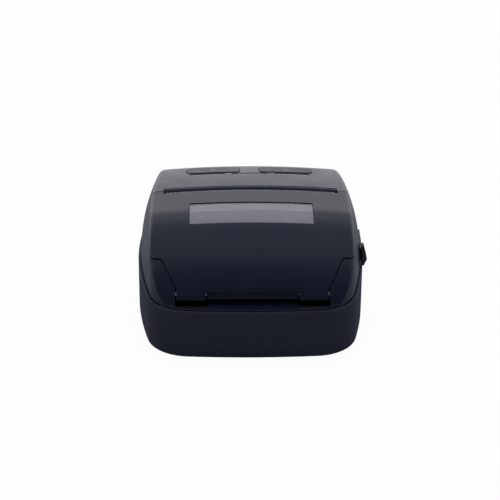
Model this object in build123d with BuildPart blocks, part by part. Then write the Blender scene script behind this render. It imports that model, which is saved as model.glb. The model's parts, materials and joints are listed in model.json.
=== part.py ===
from build123d import *
from math import asin, atan2, cos, degrees, hypot, pi, radians, sin
import os

os.makedirs("parts", exist_ok=True)

# Portable receipt printer, all sizes in millimetres.
# The origin is on the table under the middle of the body. X runs across the paper,
# -Y is the front with the cover's hinge, +Y the rear with the buttons, +Z is up.

# Body
body_width = 110.0
body_length = 120.0
body_height = 57.0
half_width = body_width / 2
half_length = body_length / 2
rim_height = body_height - 33.0
foot_height = 0.4
wall = 2.0
widest_y = 9.0
side_radius = 230.0
end_radius = 400.0
front_corner = 21.0
rear_corner = 18.0
crown_radius = 520.0
edge_radius = 3.0
base_edge = 1.0
rim_bevel = 0.7
tongue_depth = 6.0

# How far the upper body stands in from the rim, low down, at mid height and at its top
step_in = 1.3
lean_mid = 2.9
lean_top = 10.5
mid_height = rim_height + 16.0

# Paper, platen and roll, from which the paper path is laid out
paper_width = body_width - 30.0
platen_y = half_length / 2 - 27.0
platen_z = body_height - 13.0
platen_radius = 6.0
platen_shaft_radius = 2.0
bush_radius = 4.0
roll_diameter = platen_y + half_length - 25.0
roll_y = platen_y - 2.9 - roll_diameter / 2
roll_z = 6.0 + roll_diameter / 2
tray_wall = 1.6

# Clearances
panel_gap = 0.5
seat_gap = 0.2
running_fit = 0.05
press_gap = 0.02
moving_gap = 0.4

# Cover, its hinge and its side profile
hinge_y = 12.8 - half_length
hinge_z = rim_height + 3.4
hinge_pin_radius = 1.5
barrel_radius = 3.5
barrel_width = body_width - 67.4
leg_width = 13.5
leg_bottom = rim_height + 2.4
ear_width = 3.0
notch_height = rim_height + 5.9
shoulder_width = body_width - 26.0
cover_seam_height = rim_height + 17.5
leg_seam_height = rim_height + 7.0
seam_corner = 2.5
ledge_height = rim_height + 0.6
ledge_step = 0.15
ledge_rear_y = 5.8 - half_length
slope_foot_y = 7.4 - half_length
slope_foot_z = rim_height + 3.0
bend_y = platen_y - 22.5
bend_z = body_height - 2.6
bend_angle = 17.24
ridge_y = bend_y + 5.0
ridge_z = bend_z + 1.5
ridge_reach = 2.0
panel_fall = 2.0
panel_end_y = half_length - 18.0
panel_end_z = body_height - 3.3
rear_drop_y = half_length - 0.07
rear_drop_z = body_height - 15.48

# Paper slot, its tear bar and the window in the cover
slot_width = paper_width + 4.6
slot_front_y = platen_y + 2.3
slot_rear_y = platen_y + 8.4
cover_split_y = platen_y + 5.3
tooth_pitch = 1.75
tooth_depth = 1.1
strip_thickness = 0.9
strip_bottom_z = body_height - 4.4
surface_step = 0.3
window_width = 58.5
window_front_y = platen_y - 26.3
window_rear_y = platen_y - 10.0
window_gap = 0.15
window_step = 0.5
window_ridge_reach = 0.1
window_corner = 0.8
flange_thickness = 1.0
flange_lap = 2.0

# Printer frame
plate_thickness = 1.0
frame_foot_z = rim_height + 1.2
frame_top = body_height - 9.5
frame_front_y = platen_y - 6.5
frame_foot_y = platen_y - 0.2
frame_rear_y = platen_y + 34.0
back_plate_y = platen_y + 14.6
head_height = 12.0
sink_thickness = 3.0
carrier_thickness = 1.2
arm_width = 1.2

# Gear train, from the platen to the motor
gear_module = 0.5
gear_face = 1.5
mesh_play = 0.05
platen_teeth = 24
idler_teeth = 16
reduction_teeth = 28
pinion_teeth = 12
stud_radius = 1.0
motor_radius = 7.5
motor_length = 13.0

# Release latch
latch_y = platen_y + 4.5
latch_z = rim_height + 6.0
latch_shaft_radius = 2.0
hook_width = 1.0
lever_x = half_width - 2.3
lever_hub_radius = 4.5
lever_arm_height = 6.0
lever_arm_thickness = 1.1
lever_rise = 4.0
paddle_front_y = platen_y - 16.5
paddle_length = 5.0
paddle_x = half_width - 1.5
paddle_bottom = rim_height + 1.0
paddle_top = rim_height + 11.5
paddle_peak_z = rim_height + 5.0
paddle_edge = 0.9
paddle_thickness = 2.4

# Buttons, indicators and their board
button_width = paper_width / 2 - 13.5
button_length = 9.0
button_inner_x = 5.0
button_front_y = half_length - 27.0
button_travel = 0.5
button_proud = 0.3
button_skin = 1.2
lens_width = button_width - 9.5
lens_length = 2.6
lens_spacing = button_width - 5.5
lens_y = half_length - 29.8
lens_step = 0.2
lens_gap = 0.15
panel_board_z = body_height - 13.0
board_thickness = 1.6
switch_height = 2.2

# Battery, main board and what stands on it
battery_width = paper_width - 10.0
battery_front_y = platen_y + 12.0
battery_rear_y = half_length - 7.0
battery_depth = rim_height - 4.5
well_wall = 1.5
well_gap = 0.3
board_width = paper_width
board_front_y = platen_y + 14.0
board_rear_y = half_length - 7.0
standoff = 2.5
usb_x = 6.0
usb_width = 9.0
usb_height = 4.5
jack_x = -12.0
jack_mouth_radius = 4.0
jack_bore_radius = 2.75
jack_height = 10.0

# Screws and feet
case_screw_shank = 1.2
case_screw_head = 2.3
case_screw_head_height = 1.6
case_screw_length = rim_height - 8.0
case_screw_seat = 9.0
case_post_radius = 3.6
small_screw_shank = 0.95
small_screw_head = 1.9
small_screw_head_height = 1.2
small_screw_length = 5.0
foot_radius = 5.0
foot_recess = 0.6

# Port flap
flap_width = 32.0
flap_height = 12.5
flap_thickness = 0.8
flap_pin_radius = 0.4

# Battery catch
catch_width = 14.0
catch_slot_length = 8.0
catch_thumb_length = 4.6
catch_nose_width = 8.0
catch_height = 1.2

# Places worked out from the sizes above
slope_rise = degrees(atan2(bend_z - slope_foot_z, bend_y - slope_foot_y))
slope_foot_angle = 2 * slope_rise - bend_angle
floor_top = foot_height + wall
tongue_z = rim_height - tongue_depth
form_top = body_height + 5
crown_axis_z = body_height - crown_radius
crown_angle = degrees(asin(half_width / (crown_radius - body_height))) * 1.15
leg_inner_x = barrel_width / 2 + panel_gap
leg_outer_x = leg_inner_x + leg_width
pocket_radius = barrel_radius + wall - 0.1
pocket_half = leg_outer_x + panel_gap
pin_half = pocket_half + ear_width
roller_half = paper_width / 2 + 0.25
frame_x = paper_width / 2 + 1.2
frame_outer_x = frame_x + plate_thickness
hook_x = frame_outer_x + 0.3
arm_x = hook_x + hook_width + 0.3
gear_x = arm_x + arm_width + moving_gap
gear_end_x = gear_x + gear_face
well_top = foot_height + battery_depth + seat_gap + well_wall
board_z = well_top + standoff
board_top = board_z + board_thickness
panel_board_top = panel_board_z + board_thickness
side_sections = [
    (tongue_z, half_width - step_in - 0.4, widest_y, half_length - step_in),
    (mid_height, half_width - lean_mid, widest_y - 3, half_length - step_in - 0.4),
    (form_top, half_width - lean_top, widest_y - 17, half_length - step_in - 2.4),
]

# Screw and foot places, seen from above
case_screw_spots = [
    (side * x, y) for side in (-1, 1)
    for x, y in ((half_width - 10, 17 - half_length), (half_width - 11, half_length - 14))]
frame_screw_spots = [
    (side * (frame_outer_x + 4), y) for side in (-1, 1) for y in (frame_foot_y + 3, frame_rear_y - 4)]
board_screw_spots = [
    (side * (board_width / 2 - 6), y) for side in (-1, 1)
    for y in (board_front_y + 3, board_rear_y - 3)]
foot_spots = [
    (side * x, y) for side in (-1, 1)
    for x, y in ((30, 14 - half_length), (half_width - 11.5, half_length - 24))]
cover_screw_spots = [
    (side * x, platen_y - 4.8) for side in (-1, 1) for x in (18, paper_width / 2 - 2)]
button_middle_x = button_inner_x + button_width / 2
button_middle_y = button_front_y + button_length / 2
panel_post_spots = [
    (side * (button_inner_x + button_width + 3.7), y) for side in (-1, 1)
    for y in (lens_y + 0.3, button_front_y + button_length + 1)]
lens_spots = [(step * lens_spacing, lens_y) for step in (-1, 0, 1)]

# Gear centres: the idler hangs under the platen gear in line with the cover's first movement,
# so that the opening cover lifts the teeth straight apart
platen_swing = atan2(platen_z - hinge_z, platen_y - hinge_y)
platen_reach = hypot(platen_y - hinge_y, platen_z - hinge_z)
mesh_down = gear_module * (platen_teeth + idler_teeth) / 2 + mesh_play
idler_y = platen_y + mesh_down * sin(platen_swing)
idler_z = platen_z - mesh_down * cos(platen_swing)
reduction_y = idler_y + gear_module * (idler_teeth + reduction_teeth) / 2 + mesh_play
motor_y = reduction_y + gear_module * (reduction_teeth + pinion_teeth) / 2 + mesh_play


def plan_outline(half, centre_y, length, inset, z, front, rear):
    """Body outline seen from above: four long arcs with rounded corners."""
    with BuildSketch(Plane.XY.offset(z)) as outline:
        with Locations((half - side_radius, centre_y)):
            Circle(side_radius - inset)
        with Locations((side_radius - half, centre_y)):
            Circle(side_radius - inset, mode=Mode.INTERSECT)
        with Locations((0, end_radius - length)):
            Circle(end_radius - inset, mode=Mode.INTERSECT)
        with Locations((0, length - end_radius)):
            Circle(end_radius - inset, mode=Mode.INTERSECT)
        fillet(outline.vertices().group_by(Axis.Y)[0], front - inset)
        fillet(outline.vertices().group_by(Axis.Y)[-1], rear - inset)
    return outline.sketch


def tub_outline(inset, z):
    """Outline of the lower case, moved in by inset."""
    return plan_outline(half_width, widest_y, half_length, inset, z, front_corner, rear_corner)


def side_form(inset):
    """The upper body's leaning side walls, without its curved top."""
    with BuildPart() as form:
        loft([
            plan_outline(half, centre_y, length, inset, z, front_corner - 1, rear_corner - 1)
            for z, half, centre_y, length in side_sections
        ])
    return form.part


def moved_in(curve, at, inset):
    """A point of the side profile, moved inwards at right angles to the curve."""
    point = curve @ at
    along = curve % at
    return (point.X + along.Y * inset, point.Y - along.X * inset)


def crown_form(inset, reach):
    """The space under the curved top: its side profile turned about a far axis along Y.

    The ridge behind the bend is rounded over a reach to each side of its edge.
    """
    low = tongue_z - 8
    far = body_length
    foot_slope = (cos(radians(slope_foot_angle)), sin(radians(slope_foot_angle)))
    panel_slope = (cos(radians(panel_fall)), -sin(radians(panel_fall)))
    slope = TangentArc((slope_foot_y, slope_foot_z), (bend_y, bend_z), tangent=foot_slope)
    ridge_edge = Vector(ridge_y, ridge_z)
    towards_bend = (Vector(bend_y, bend_z) - ridge_edge).normalized()
    towards_panel = (Vector(cover_split_y, body_height) - ridge_edge).normalized()
    bend = TangentArc(slope @ 1, ridge_edge + towards_bend * reach, tangent=slope % 1)
    ridge = TangentArc(bend @ 1, ridge_edge + towards_panel * reach, tangent=bend % 1)
    panel = TangentArc((cover_split_y, body_height), (panel_end_y, panel_end_z), tangent=panel_slope)
    drop = TangentArc(panel @ 1, (rear_drop_y, rear_drop_z), tangent=panel % 1)
    foot = Vector(*moved_in(slope, 0, inset))
    tail = Vector(*moved_in(drop, 1, inset))
    with BuildPart() as form:
        with BuildSketch(Plane.YZ):
            with BuildLine():
                for arc in (slope, bend, ridge, panel, drop):
                    TangentArc(moved_in(arc, 0, inset), moved_in(arc, 1, inset), tangent=arc % 0)
                Line(moved_in(ridge, 1, inset), moved_in(panel, 0, inset))
                Polyline(
                    tail, tail + (drop % 1) * 12, (far, low), (-far, low), foot - (slope % 0) * 9, foot)
            make_face()
        revolve(axis=Axis((0, 0, crown_axis_z), (0, 1, 0)), revolution_arc=crown_angle)
        mirror(about=Plane.YZ)
    return form.part


def runs_round_the_top(edge):
    """True for an edge where the curved top meets the side walls."""
    middle = edge.center()
    outside = abs(middle.X) > half_width / 2 or middle.Y > panel_end_y + 8
    return outside and middle.Z > tongue_z + 0.5 and abs((edge % 0.5).Z) < 0.9


def body_form(inset, reach=ridge_reach):
    """The whole upper body as one solid, moved in by inset, with the low ledge at its front."""
    sunk = max(inset, 0)
    with BuildPart() as form:
        add(side_form(inset))
        add(crown_form(inset, reach), mode=Mode.INTERSECT)
        if inset == 0:
            fillet(form.edges().filter_by(runs_round_the_top), edge_radius)
        ledge_outline = plan_outline(
            half_width - step_in - 0.4, widest_y, half_length - step_in, sunk + ledge_step, tongue_z,
            front_corner - 1, rear_corner - 1)
        extrude(ledge_outline, amount=ledge_height - sunk - tongue_z)
    return form.part


def cover_zone(grow):
    """The space of the cover, seen from the front, larger by grow on every side."""
    seam_corner_spot = Vector(shoulder_width / 2, cover_seam_height)
    with BuildPart() as zone:
        with BuildSketch(Plane.XZ.offset(-(cover_split_y + grow))) as outline:
            with BuildLine():
                Polyline(
                    (0, leg_bottom), (leg_outer_x, leg_bottom), (leg_outer_x, leg_seam_height),
                    (shoulder_width / 2, cover_seam_height), (body_width, cover_seam_height),
                    (body_width, 2 * body_height), (0, 2 * body_height), close=True)
            make_face()
            fillet(outline.vertices().sort_by_distance(seam_corner_spot)[0], seam_corner)
            mirror(about=Plane.YZ)
            offset(amount=grow, kind=Kind.INTERSECTION, mode=Mode.REPLACE)
        extrude(amount=body_length)
    return zone.part


def pocket_outline(grow):
    """Section of the hinge pocket, seen from the side: a round well with a square front."""
    with BuildSketch(Plane.YZ) as outline:
        with Locations((hinge_y, hinge_z)):
            Circle(pocket_radius + grow)
        with Locations((ledge_rear_y - grow, hinge_z - pocket_radius - grow)):
            Rectangle(
                hinge_y - ledge_rear_y + grow, pocket_radius + 2 * grow, align=(Align.MIN, Align.MIN))
    return outline.sketch


def window_outline(grow):
    """The window seen from above."""
    with BuildSketch(Plane.XY.offset(rim_height)) as outline:
        with Locations((0, (window_front_y + window_rear_y) / 2)):
            RectangleRounded(
                window_width + 2 * grow, window_rear_y - window_front_y + 2 * grow, window_corner + grow)
    return outline.sketch


def button_outline(side, grow, z):
    """A button seen from above, with its two outer corners well rounded."""
    with BuildSketch(Plane.XY.offset(z)) as outline:
        with Locations((side * button_middle_x, button_middle_y)):
            Rectangle(button_width + 2 * grow, button_length + 2 * grow)
        fillet(outline.vertices().group_by(Axis.X)[-1 if side > 0 else 0], 3 + grow)
        fillet(outline.vertices().group_by(Axis.X)[0 if side > 0 else -1], 1.5 + grow)
    return outline.sketch


def bar_along_x(radius, low_x, high_x, y, z):
    """A round bar along X between two ends."""
    with BuildPart() as bar:
        with BuildSketch(Plane.YZ.offset(low_x)):
            with Locations((y, z)):
                Circle(radius)
        extrude(amount=high_x - low_x)
    return bar.part


def block(low, high):
    """A rectangular block between two corners."""
    with BuildPart() as box:
        with Locations(tuple((a + b) / 2 for a, b in zip(low, high))):
            Box(*[b - a for a, b in zip(low, high)])
    return box.part


def posts(spots, radius, low_z, high_z):
    """Round posts at places seen from above."""
    with BuildPart() as group:
        with BuildSketch(Plane.XY.offset(low_z)):
            with Locations(spots):
                Circle(radius)
        extrude(amount=high_z - low_z)
    return group.part


def screw(head_radius, head_height, shank_radius, length):
    """A pan-head screw with its shank down and the underside of its head at z = 0."""
    with BuildPart() as body:
        with BuildSketch():
            Circle(head_radius)
        extrude(amount=head_height)
        fillet(body.edges().group_by(Axis.Z)[-1], head_height * 0.5)
        with BuildSketch(Plane.XY.offset(head_height)):
            Rectangle(head_radius * 1.2, head_radius * 0.28)
            Rectangle(head_radius * 0.28, head_radius * 1.2)
        extrude(amount=-head_height * 0.55, mode=Mode.SUBTRACT)
        with BuildSketch():
            Circle(shank_radius)
        extrude(amount=-length)
        chamfer(body.edges().group_by(Axis.Z)[0], shank_radius * 0.4)
    return body.part


def coil(radius, wire, turns, length):
    """A wire spring along Z, starting at the origin."""
    with BuildPart() as spring:
        with BuildLine():
            path = Helix(pitch=length / turns, height=length, radius=radius)
        with BuildSketch(Plane(origin=path @ 0, z_dir=path % 0)):
            Circle(wire / 2)
        sweep(is_frenet=True)
    return spring.part


def spur_gear(teeth, first_tooth, bore, y, z):
    """A spur gear on the gear plane, with the middle of one tooth at the angle first_tooth."""
    pitch_radius = gear_module * teeth / 2
    tooth = pi * gear_module
    root = pitch_radius - 1.2 * gear_module
    tip = pitch_radius + 0.9 * gear_module
    with BuildPart() as gear:
        with BuildSketch(Plane.YZ.offset(-gear_end_x)):
            with Locations((y, z)):
                Circle(root)
                with PolarLocations(0, teeth, start_angle=first_tooth):
                    Polygon(
                        (root - gear_module / 2, -0.27 * tooth), (pitch_radius, -0.2 * tooth),
                        (tip, -0.09 * tooth), (tip, 0.09 * tooth), (pitch_radius, 0.2 * tooth),
                        (root - gear_module / 2, 0.27 * tooth), align=None)
                Circle(bore, mode=Mode.SUBTRACT)
        extrude(amount=gear_face)
    return gear.part


def meshed_tooth(first_tooth, teeth, next_teeth, direction):
    """The first tooth's angle on the next gear, whose gap takes a tooth of this one."""
    share = ((first_tooth - direction) * teeth / 360) % 1
    return direction + 180 + (0.5 - share) * 360 / next_teeth


outer_form = body_form(0)
inner_form = body_form(wall)
middle_form = body_form(wall / 2)
sunk_form = body_form(surface_step)
lens_form = body_form(lens_step)
window_form = body_form(window_step, window_ridge_reach)
flange_form = body_form(wall + flange_thickness)
proud_form = body_form(-button_proud)

# Lower case: a tub with a bevelled rim, a battery well in its floor and posts for the screws
catch_y = battery_front_y - well_gap - well_wall - catch_slot_length / 2 - 0.2
catch_z = floor_top + seat_gap
spring_stop_y = catch_y - catch_slot_length
with BuildPart() as lower_case:
    extrude(tub_outline(0, foot_height), amount=rim_height - foot_height)
    fillet(lower_case.edges().group_by(Axis.Z)[0], base_edge)
    chamfer(lower_case.edges().group_by(Axis.Z)[-1], rim_bevel)
    extrude(tub_outline(wall, floor_top), amount=rim_height, mode=Mode.SUBTRACT)
    add(side_form(-seat_gap), mode=Mode.SUBTRACT)
    # Battery well, open below
    well_half = battery_width / 2 + well_gap
    well_front_y = battery_front_y - well_gap
    well_rear_y = battery_rear_y + well_gap
    add(block(
        (-well_half - well_wall, well_front_y - well_wall, foot_height + 1),
        (well_half + well_wall, well_rear_y + well_wall, well_top)))
    add(block((-well_half, well_front_y, 0), (well_half, well_rear_y, well_top - well_wall)),
        mode=Mode.SUBTRACT)
    # Posts for the case screws, the printer frame and the main board
    add(posts(case_screw_spots, case_post_radius, floor_top - 0.5, tongue_z - seat_gap))
    add(posts(frame_screw_spots, small_screw_head + 1.1, floor_top - 0.5, frame_foot_z))
    add(posts(board_screw_spots, small_screw_head + 0.6, well_top - 0.5, board_z))
    # Screw holes, with deep seats for the heads of the case screws
    add(posts(case_screw_spots, case_screw_shank + seat_gap, 0, rim_height), mode=Mode.SUBTRACT)
    add(posts(case_screw_spots, case_screw_head + 0.3, 0, case_screw_seat), mode=Mode.SUBTRACT)
    add(posts(
        frame_screw_spots, small_screw_shank + press_gap, frame_foot_z - small_screw_length, rim_height * 2),
        mode=Mode.SUBTRACT)
    add(posts(
        board_screw_spots, small_screw_shank + press_gap, well_top - well_wall + 0.4, rim_height * 2),
        mode=Mode.SUBTRACT)
    add(posts(foot_spots, foot_radius, 0, foot_height + foot_recess), mode=Mode.SUBTRACT)
    # Opening for the battery catch, the slit for its nose and the stop for its spring
    add(block(
        (-catch_width / 2, catch_y - catch_slot_length / 2, 0),
        (catch_width / 2, catch_y + catch_slot_length / 2, floor_top + 0.1)), mode=Mode.SUBTRACT)
    add(block(
        (-catch_nose_width / 2 - moving_gap, well_front_y - well_wall - 1, floor_top),
        (catch_nose_width / 2 + moving_gap, battery_front_y, catch_z + catch_height + moving_gap)),
        mode=Mode.SUBTRACT)
    add(block(
        (-catch_nose_width / 2, spring_stop_y - 1.5, floor_top - 0.5),
        (catch_nose_width / 2, spring_stop_y, floor_top + 4)))
    # Holes in the well's roof for the battery contacts
    contact_spots = [(battery_width / 2 - inset, battery_front_y + 3) for inset in (9, 13, 17)]
    with BuildSketch(Plane.XY.offset(well_top - well_wall - 1)):
        with Locations(contact_spots):
            Rectangle(1.7, 2.2)
    extrude(amount=well_wall + 2, mode=Mode.SUBTRACT)
lower_case.part.label = "lower_case"

with BuildPart() as rubber_feet:
    add(posts(foot_spots, foot_radius - seat_gap, 0, foot_height + foot_recess))
    chamfer(rubber_feet.edges().group_by(Axis.Z)[0], 0.3)
rubber_feet.part.label = "rubber_feet"

# Hinge trough of the upper case, with the barrel on its web and an ear at each end. The barrel is
# square with rounded corners, and its front lies along the slope of the cover.
barrel_corner = 1.0
barrel_side = 2 * barrel_corner + (barrel_radius - barrel_corner) * 2 ** 0.5
with BuildPart() as hinge_trough:
    extrude(pocket_outline(well_wall), amount=pin_half, both=True)
    add(block(
        (-pin_half, -half_length, hinge_z - pocket_radius - well_wall), (pin_half, ledge_rear_y, hinge_z)))
    add(block((-body_width, -half_length, hinge_z), (body_width, 0, body_height)), mode=Mode.SUBTRACT)
    extrude(pocket_outline(0), amount=pocket_half, both=True, mode=Mode.SUBTRACT)
    add(block(
        (-barrel_width / 2, hinge_y - 0.5, hinge_z - pocket_radius - 0.5),
        (barrel_width / 2, hinge_y + 2.5, hinge_z)))
    with BuildSketch(Plane.YZ):
        with Locations((hinge_y, hinge_z)):
            RectangleRounded(barrel_side, barrel_side, barrel_corner, rotation=slope_foot_angle)
    extrude(amount=barrel_width / 2, both=True)
    add(bar_along_x(barrel_radius, pocket_half, pin_half, hinge_y, hinge_z))
    add(bar_along_x(barrel_radius, -pin_half, -pocket_half, hinge_y, hinge_z))
    add(middle_form, mode=Mode.INTERSECT)

# Upper case: shoulders, front ledge, and the rear control panel
usb_z = board_top + usb_height / 2
jack_z = board_top + jack_height / 2
flap_x = (usb_x + jack_x) / 2
flap_y = half_length - 1.0
flap_pin_y = flap_y + flap_thickness / 2
flap_pin_z = rim_height + 1.6
with BuildPart() as upper_case:
    add(outer_form)
    add(inner_form, mode=Mode.SUBTRACT)
    add(cover_zone(panel_gap / 2), mode=Mode.SUBTRACT)
    extrude(pocket_outline(0), amount=pocket_half, both=True, mode=Mode.SUBTRACT)
    add(hinge_trough.part)
    # The ledge runs on between the cover's legs, as near to the barrel as the cover's edge turns
    with BuildPart(mode=Mode.PRIVATE) as barrel_apron:
        add(block(
            (-barrel_width / 2, ledge_rear_y - 0.5, hinge_z - pocket_radius - 0.5),
            (barrel_width / 2, hinge_y, ledge_height)))
        add(bar_along_x(barrel_radius + wall - 0.5, -body_width, body_width, hinge_y, hinge_z),
            mode=Mode.SUBTRACT)
    add(barrel_apron.part)
    add(bar_along_x(hinge_pin_radius + press_gap, -pin_half - 1, pin_half + 1, hinge_y, hinge_z),
        mode=Mode.SUBTRACT)
    # Slot, buttons and indicator windows
    add(block((-slot_width / 2, slot_front_y, rim_height), (slot_width / 2, slot_rear_y, form_top)),
        mode=Mode.SUBTRACT)
    for side in (-1, 1):
        extrude(button_outline(side, seat_gap, panel_board_z), amount=form_top, mode=Mode.SUBTRACT)
    with BuildSketch(Plane.XY.offset(panel_board_z)):
        with Locations(lens_spots):
            RectangleRounded(lens_width + 2 * lens_gap, lens_length + 2 * lens_gap, 0.7)
    extrude(amount=form_top, mode=Mode.SUBTRACT)
    # Screw posts, reaching into the wall but not through it
    with BuildPart(mode=Mode.PRIVATE) as upper_posts:
        add(posts(case_screw_spots, case_post_radius - 0.4, tongue_z, form_top))
        add(posts(panel_post_spots, small_screw_shank + 1.1, panel_board_top, form_top))
        add(middle_form, mode=Mode.INTERSECT)
    add(upper_posts.part)
    add(posts(case_screw_spots, case_screw_shank + press_gap, 0, tongue_z + 8), mode=Mode.SUBTRACT)
    add(posts(panel_post_spots, small_screw_shank + press_gap, 0, panel_board_top + 4.2),
        mode=Mode.SUBTRACT)
    # Recess for the swing of the lever's arm, with the hole for the latch shaft
    with BuildSketch(Plane.YZ.offset(lever_x - seat_gap)):
        with Locations((latch_y, latch_z)):
            Circle(lever_hub_radius + moving_gap)
        with Locations((paddle_front_y + paddle_length / 2, latch_z + lever_rise / 2)):
            Rectangle(
                1, lever_arm_height + lever_rise + 2 * moving_gap, align=(Align.MIN, Align.CENTER))
        make_hull()
    extrude(amount=wall + step_in, mode=Mode.SUBTRACT)
    add(bar_along_x(latch_shaft_radius + moving_gap, frame_outer_x, body_width, latch_y, latch_z),
        mode=Mode.SUBTRACT)
    # Port openings and the lugs of the port flap
    add(block(
        (usb_x - usb_width / 2 - 0.4, half_length - 8, board_top - 0.4),
        (usb_x + usb_width / 2 + 0.4, body_length, board_top + usb_height + 0.4)), mode=Mode.SUBTRACT)
    with BuildSketch(Plane.XZ.offset(-body_length)):
        with Locations((jack_x, jack_z)):
            Circle(jack_mouth_radius + 0.4)
    extrude(amount=half_length + 8, mode=Mode.SUBTRACT)
    for side in (-1, 1):
        lug_x = flap_x + side * (flap_width / 2 + 1.3)
        add(block(
            (lug_x - 1, half_length - 2.2, flap_pin_z - 0.8), (lug_x + 1, half_length, flap_pin_z + 0.8)))
    add(bar_along_x(
        flap_pin_radius + running_fit, flap_x - flap_width / 2 - 1.5, flap_x + flap_width / 2 + 1.5,
        flap_pin_y, flap_pin_z), mode=Mode.SUBTRACT)
upper_case.part.label = "upper_case"

with BuildPart() as hinge_pin:
    add(bar_along_x(hinge_pin_radius, seat_gap - pin_half, pin_half - seat_gap, hinge_y, hinge_z))
    chamfer(hinge_pin.edges().filter_by(GeomType.CIRCLE), 0.3)
hinge_pin.part.label = "hinge_pin"

# Paper cover: the lid over the roll, with a leg each side of the hinge barrel
carrier_z = platen_z + platen_radius + 1
carrier_top = carrier_z + carrier_thickness
carrier_front_y = platen_y - 7
carrier_rear_y = slot_front_y - 0.7
with BuildPart() as paper_cover:
    add(outer_form)
    add(inner_form, mode=Mode.SUBTRACT)
    add(cover_zone(-panel_gap / 2), mode=Mode.INTERSECT)
    add(block((-leg_inner_x, -body_length, 0), (leg_inner_x, 0, notch_height)), mode=Mode.SUBTRACT)
    for low_x, high_x in ((leg_inner_x, leg_outer_x), (-leg_outer_x, -leg_inner_x)):
        knuckle_low = max(low_x, panel_gap / 2 - leg_outer_x)
        knuckle_high = min(high_x, leg_outer_x - panel_gap / 2)
        add(bar_along_x(barrel_radius, knuckle_low, knuckle_high, hinge_y, hinge_z))
    add(bar_along_x(hinge_pin_radius + running_fit, -body_width, body_width, hinge_y, hinge_z),
        mode=Mode.SUBTRACT)
    add(bar_along_x(barrel_radius + moving_gap, -leg_inner_x, leg_inner_x, hinge_y, hinge_z),
        mode=Mode.SUBTRACT)
    add(block((-slot_width / 2, slot_front_y, rim_height), (slot_width / 2, slot_rear_y, form_top)),
        mode=Mode.SUBTRACT)
    extrude(window_outline(window_gap), amount=body_height, mode=Mode.SUBTRACT)
    # Posts for the platen carrier
    with BuildPart(mode=Mode.PRIVATE) as cover_posts:
        add(posts(cover_screw_spots, small_screw_shank + 1.1, carrier_top, form_top))
        add(middle_form, mode=Mode.INTERSECT)
    add(cover_posts.part)
    add(posts(cover_screw_spots, small_screw_shank + press_gap, carrier_z, carrier_top + 2.0),
        mode=Mode.SUBTRACT)
paper_cover.part.label = "paper_cover"

with BuildPart() as cover_window:
    with BuildPart(mode=Mode.PRIVATE) as window_flange:
        add(block(
            (-window_width / 2 - flange_lap, window_front_y - flange_lap, rim_height),
            (window_width / 2 + flange_lap, window_rear_y + flange_lap, form_top)))
        add(inner_form, mode=Mode.INTERSECT)
        add(flange_form, mode=Mode.SUBTRACT)
    extrude(window_outline(0), amount=body_height)
    add(window_form, mode=Mode.INTERSECT)
    add(flange_form, mode=Mode.SUBTRACT)
    add(window_flange.part)
cover_window.part.label = "cover_window"

# Tear bar on the cover's edge of the slot, cut as one saw-toothed outline
tooth_count = int((slot_width - 1) / tooth_pitch)
strip_half = slot_width / 2 - seat_gap
with BuildPart() as tear_bar:
    with BuildSketch(Plane.XY.offset(strip_bottom_z)):
        with BuildLine():
            base_y = slot_front_y + press_gap
            edge_y = base_y + strip_thickness
            teeth_start = -tooth_count * tooth_pitch / 2
            teeth = [(teeth_start, edge_y)]
            for count in range(tooth_count):
                left = teeth_start + count * tooth_pitch
                teeth += [(left + tooth_pitch / 2, edge_y + tooth_depth), (left + tooth_pitch, edge_y)]
            Polyline(
                *teeth, (strip_half, edge_y), (strip_half, base_y), (-strip_half, base_y),
                (-strip_half, edge_y), close=True)
        make_face()
    extrude(amount=form_top - strip_bottom_z)
    add(sunk_form, mode=Mode.INTERSECT)
tear_bar.part.label = "tear_bar"

with BuildPart() as paper_lip:
    add(block(
        (-strip_half, slot_rear_y - press_gap - strip_thickness, strip_bottom_z - 2),
        (strip_half, slot_rear_y - press_gap, form_top)))
    add(sunk_form, mode=Mode.INTERSECT)
paper_lip.part.label = "paper_lip"

# Platen carrier under the cover, with an arm at each end for the platen's bushes
with BuildPart() as platen_carrier:
    add(block(
        (-arm_x - arm_width, carrier_front_y, carrier_z), (arm_x + arm_width, carrier_rear_y, carrier_top)))
    for low_x in (-arm_x - arm_width, arm_x):
        with BuildSketch(Plane.YZ.offset(low_x)):
            with Locations((platen_y, platen_z)):
                Circle(bush_radius + 1.6)
            with Locations((carrier_front_y, platen_z)):
                Rectangle(
                    carrier_rear_y - carrier_front_y, carrier_top - platen_z,
                    align=(Align.MIN, Align.MIN))
            with Locations((platen_y, platen_z)):
                Circle(bush_radius + press_gap, mode=Mode.SUBTRACT)
        extrude(amount=arm_width)
    add(posts(cover_screw_spots, small_screw_shank + 0.15, carrier_z - 1, form_top), mode=Mode.SUBTRACT)
platen_carrier.part.label = "platen_carrier"

with BuildPart() as cover_screws:
    with Locations(*[Location((x, y, carrier_z), (180, 0, 0)) for x, y in cover_screw_spots]):
        add(screw(small_screw_head, small_screw_head_height, small_screw_shank, carrier_thickness + 1.8))
cover_screws.part.label = "cover_screws"

# Platen: rubber roller on a steel shaft that runs in two bushes
with BuildPart() as platen_shaft:
    add(bar_along_x(
        platen_shaft_radius, -gear_end_x - 0.4, arm_x + arm_width + 0.6, platen_y, platen_z))
    chamfer(platen_shaft.edges().filter_by(GeomType.CIRCLE), 0.3)
platen_shaft.part.label = "platen_shaft"

with BuildPart() as platen_roller:
    add(bar_along_x(platen_radius, -roller_half, roller_half, platen_y, platen_z))
    fillet(platen_roller.edges().filter_by(GeomType.CIRCLE), 0.4)
    add(bar_along_x(platen_shaft_radius + press_gap, -body_width, body_width, platen_y, platen_z),
        mode=Mode.SUBTRACT)
platen_roller.part.label = "platen_roller"

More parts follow.
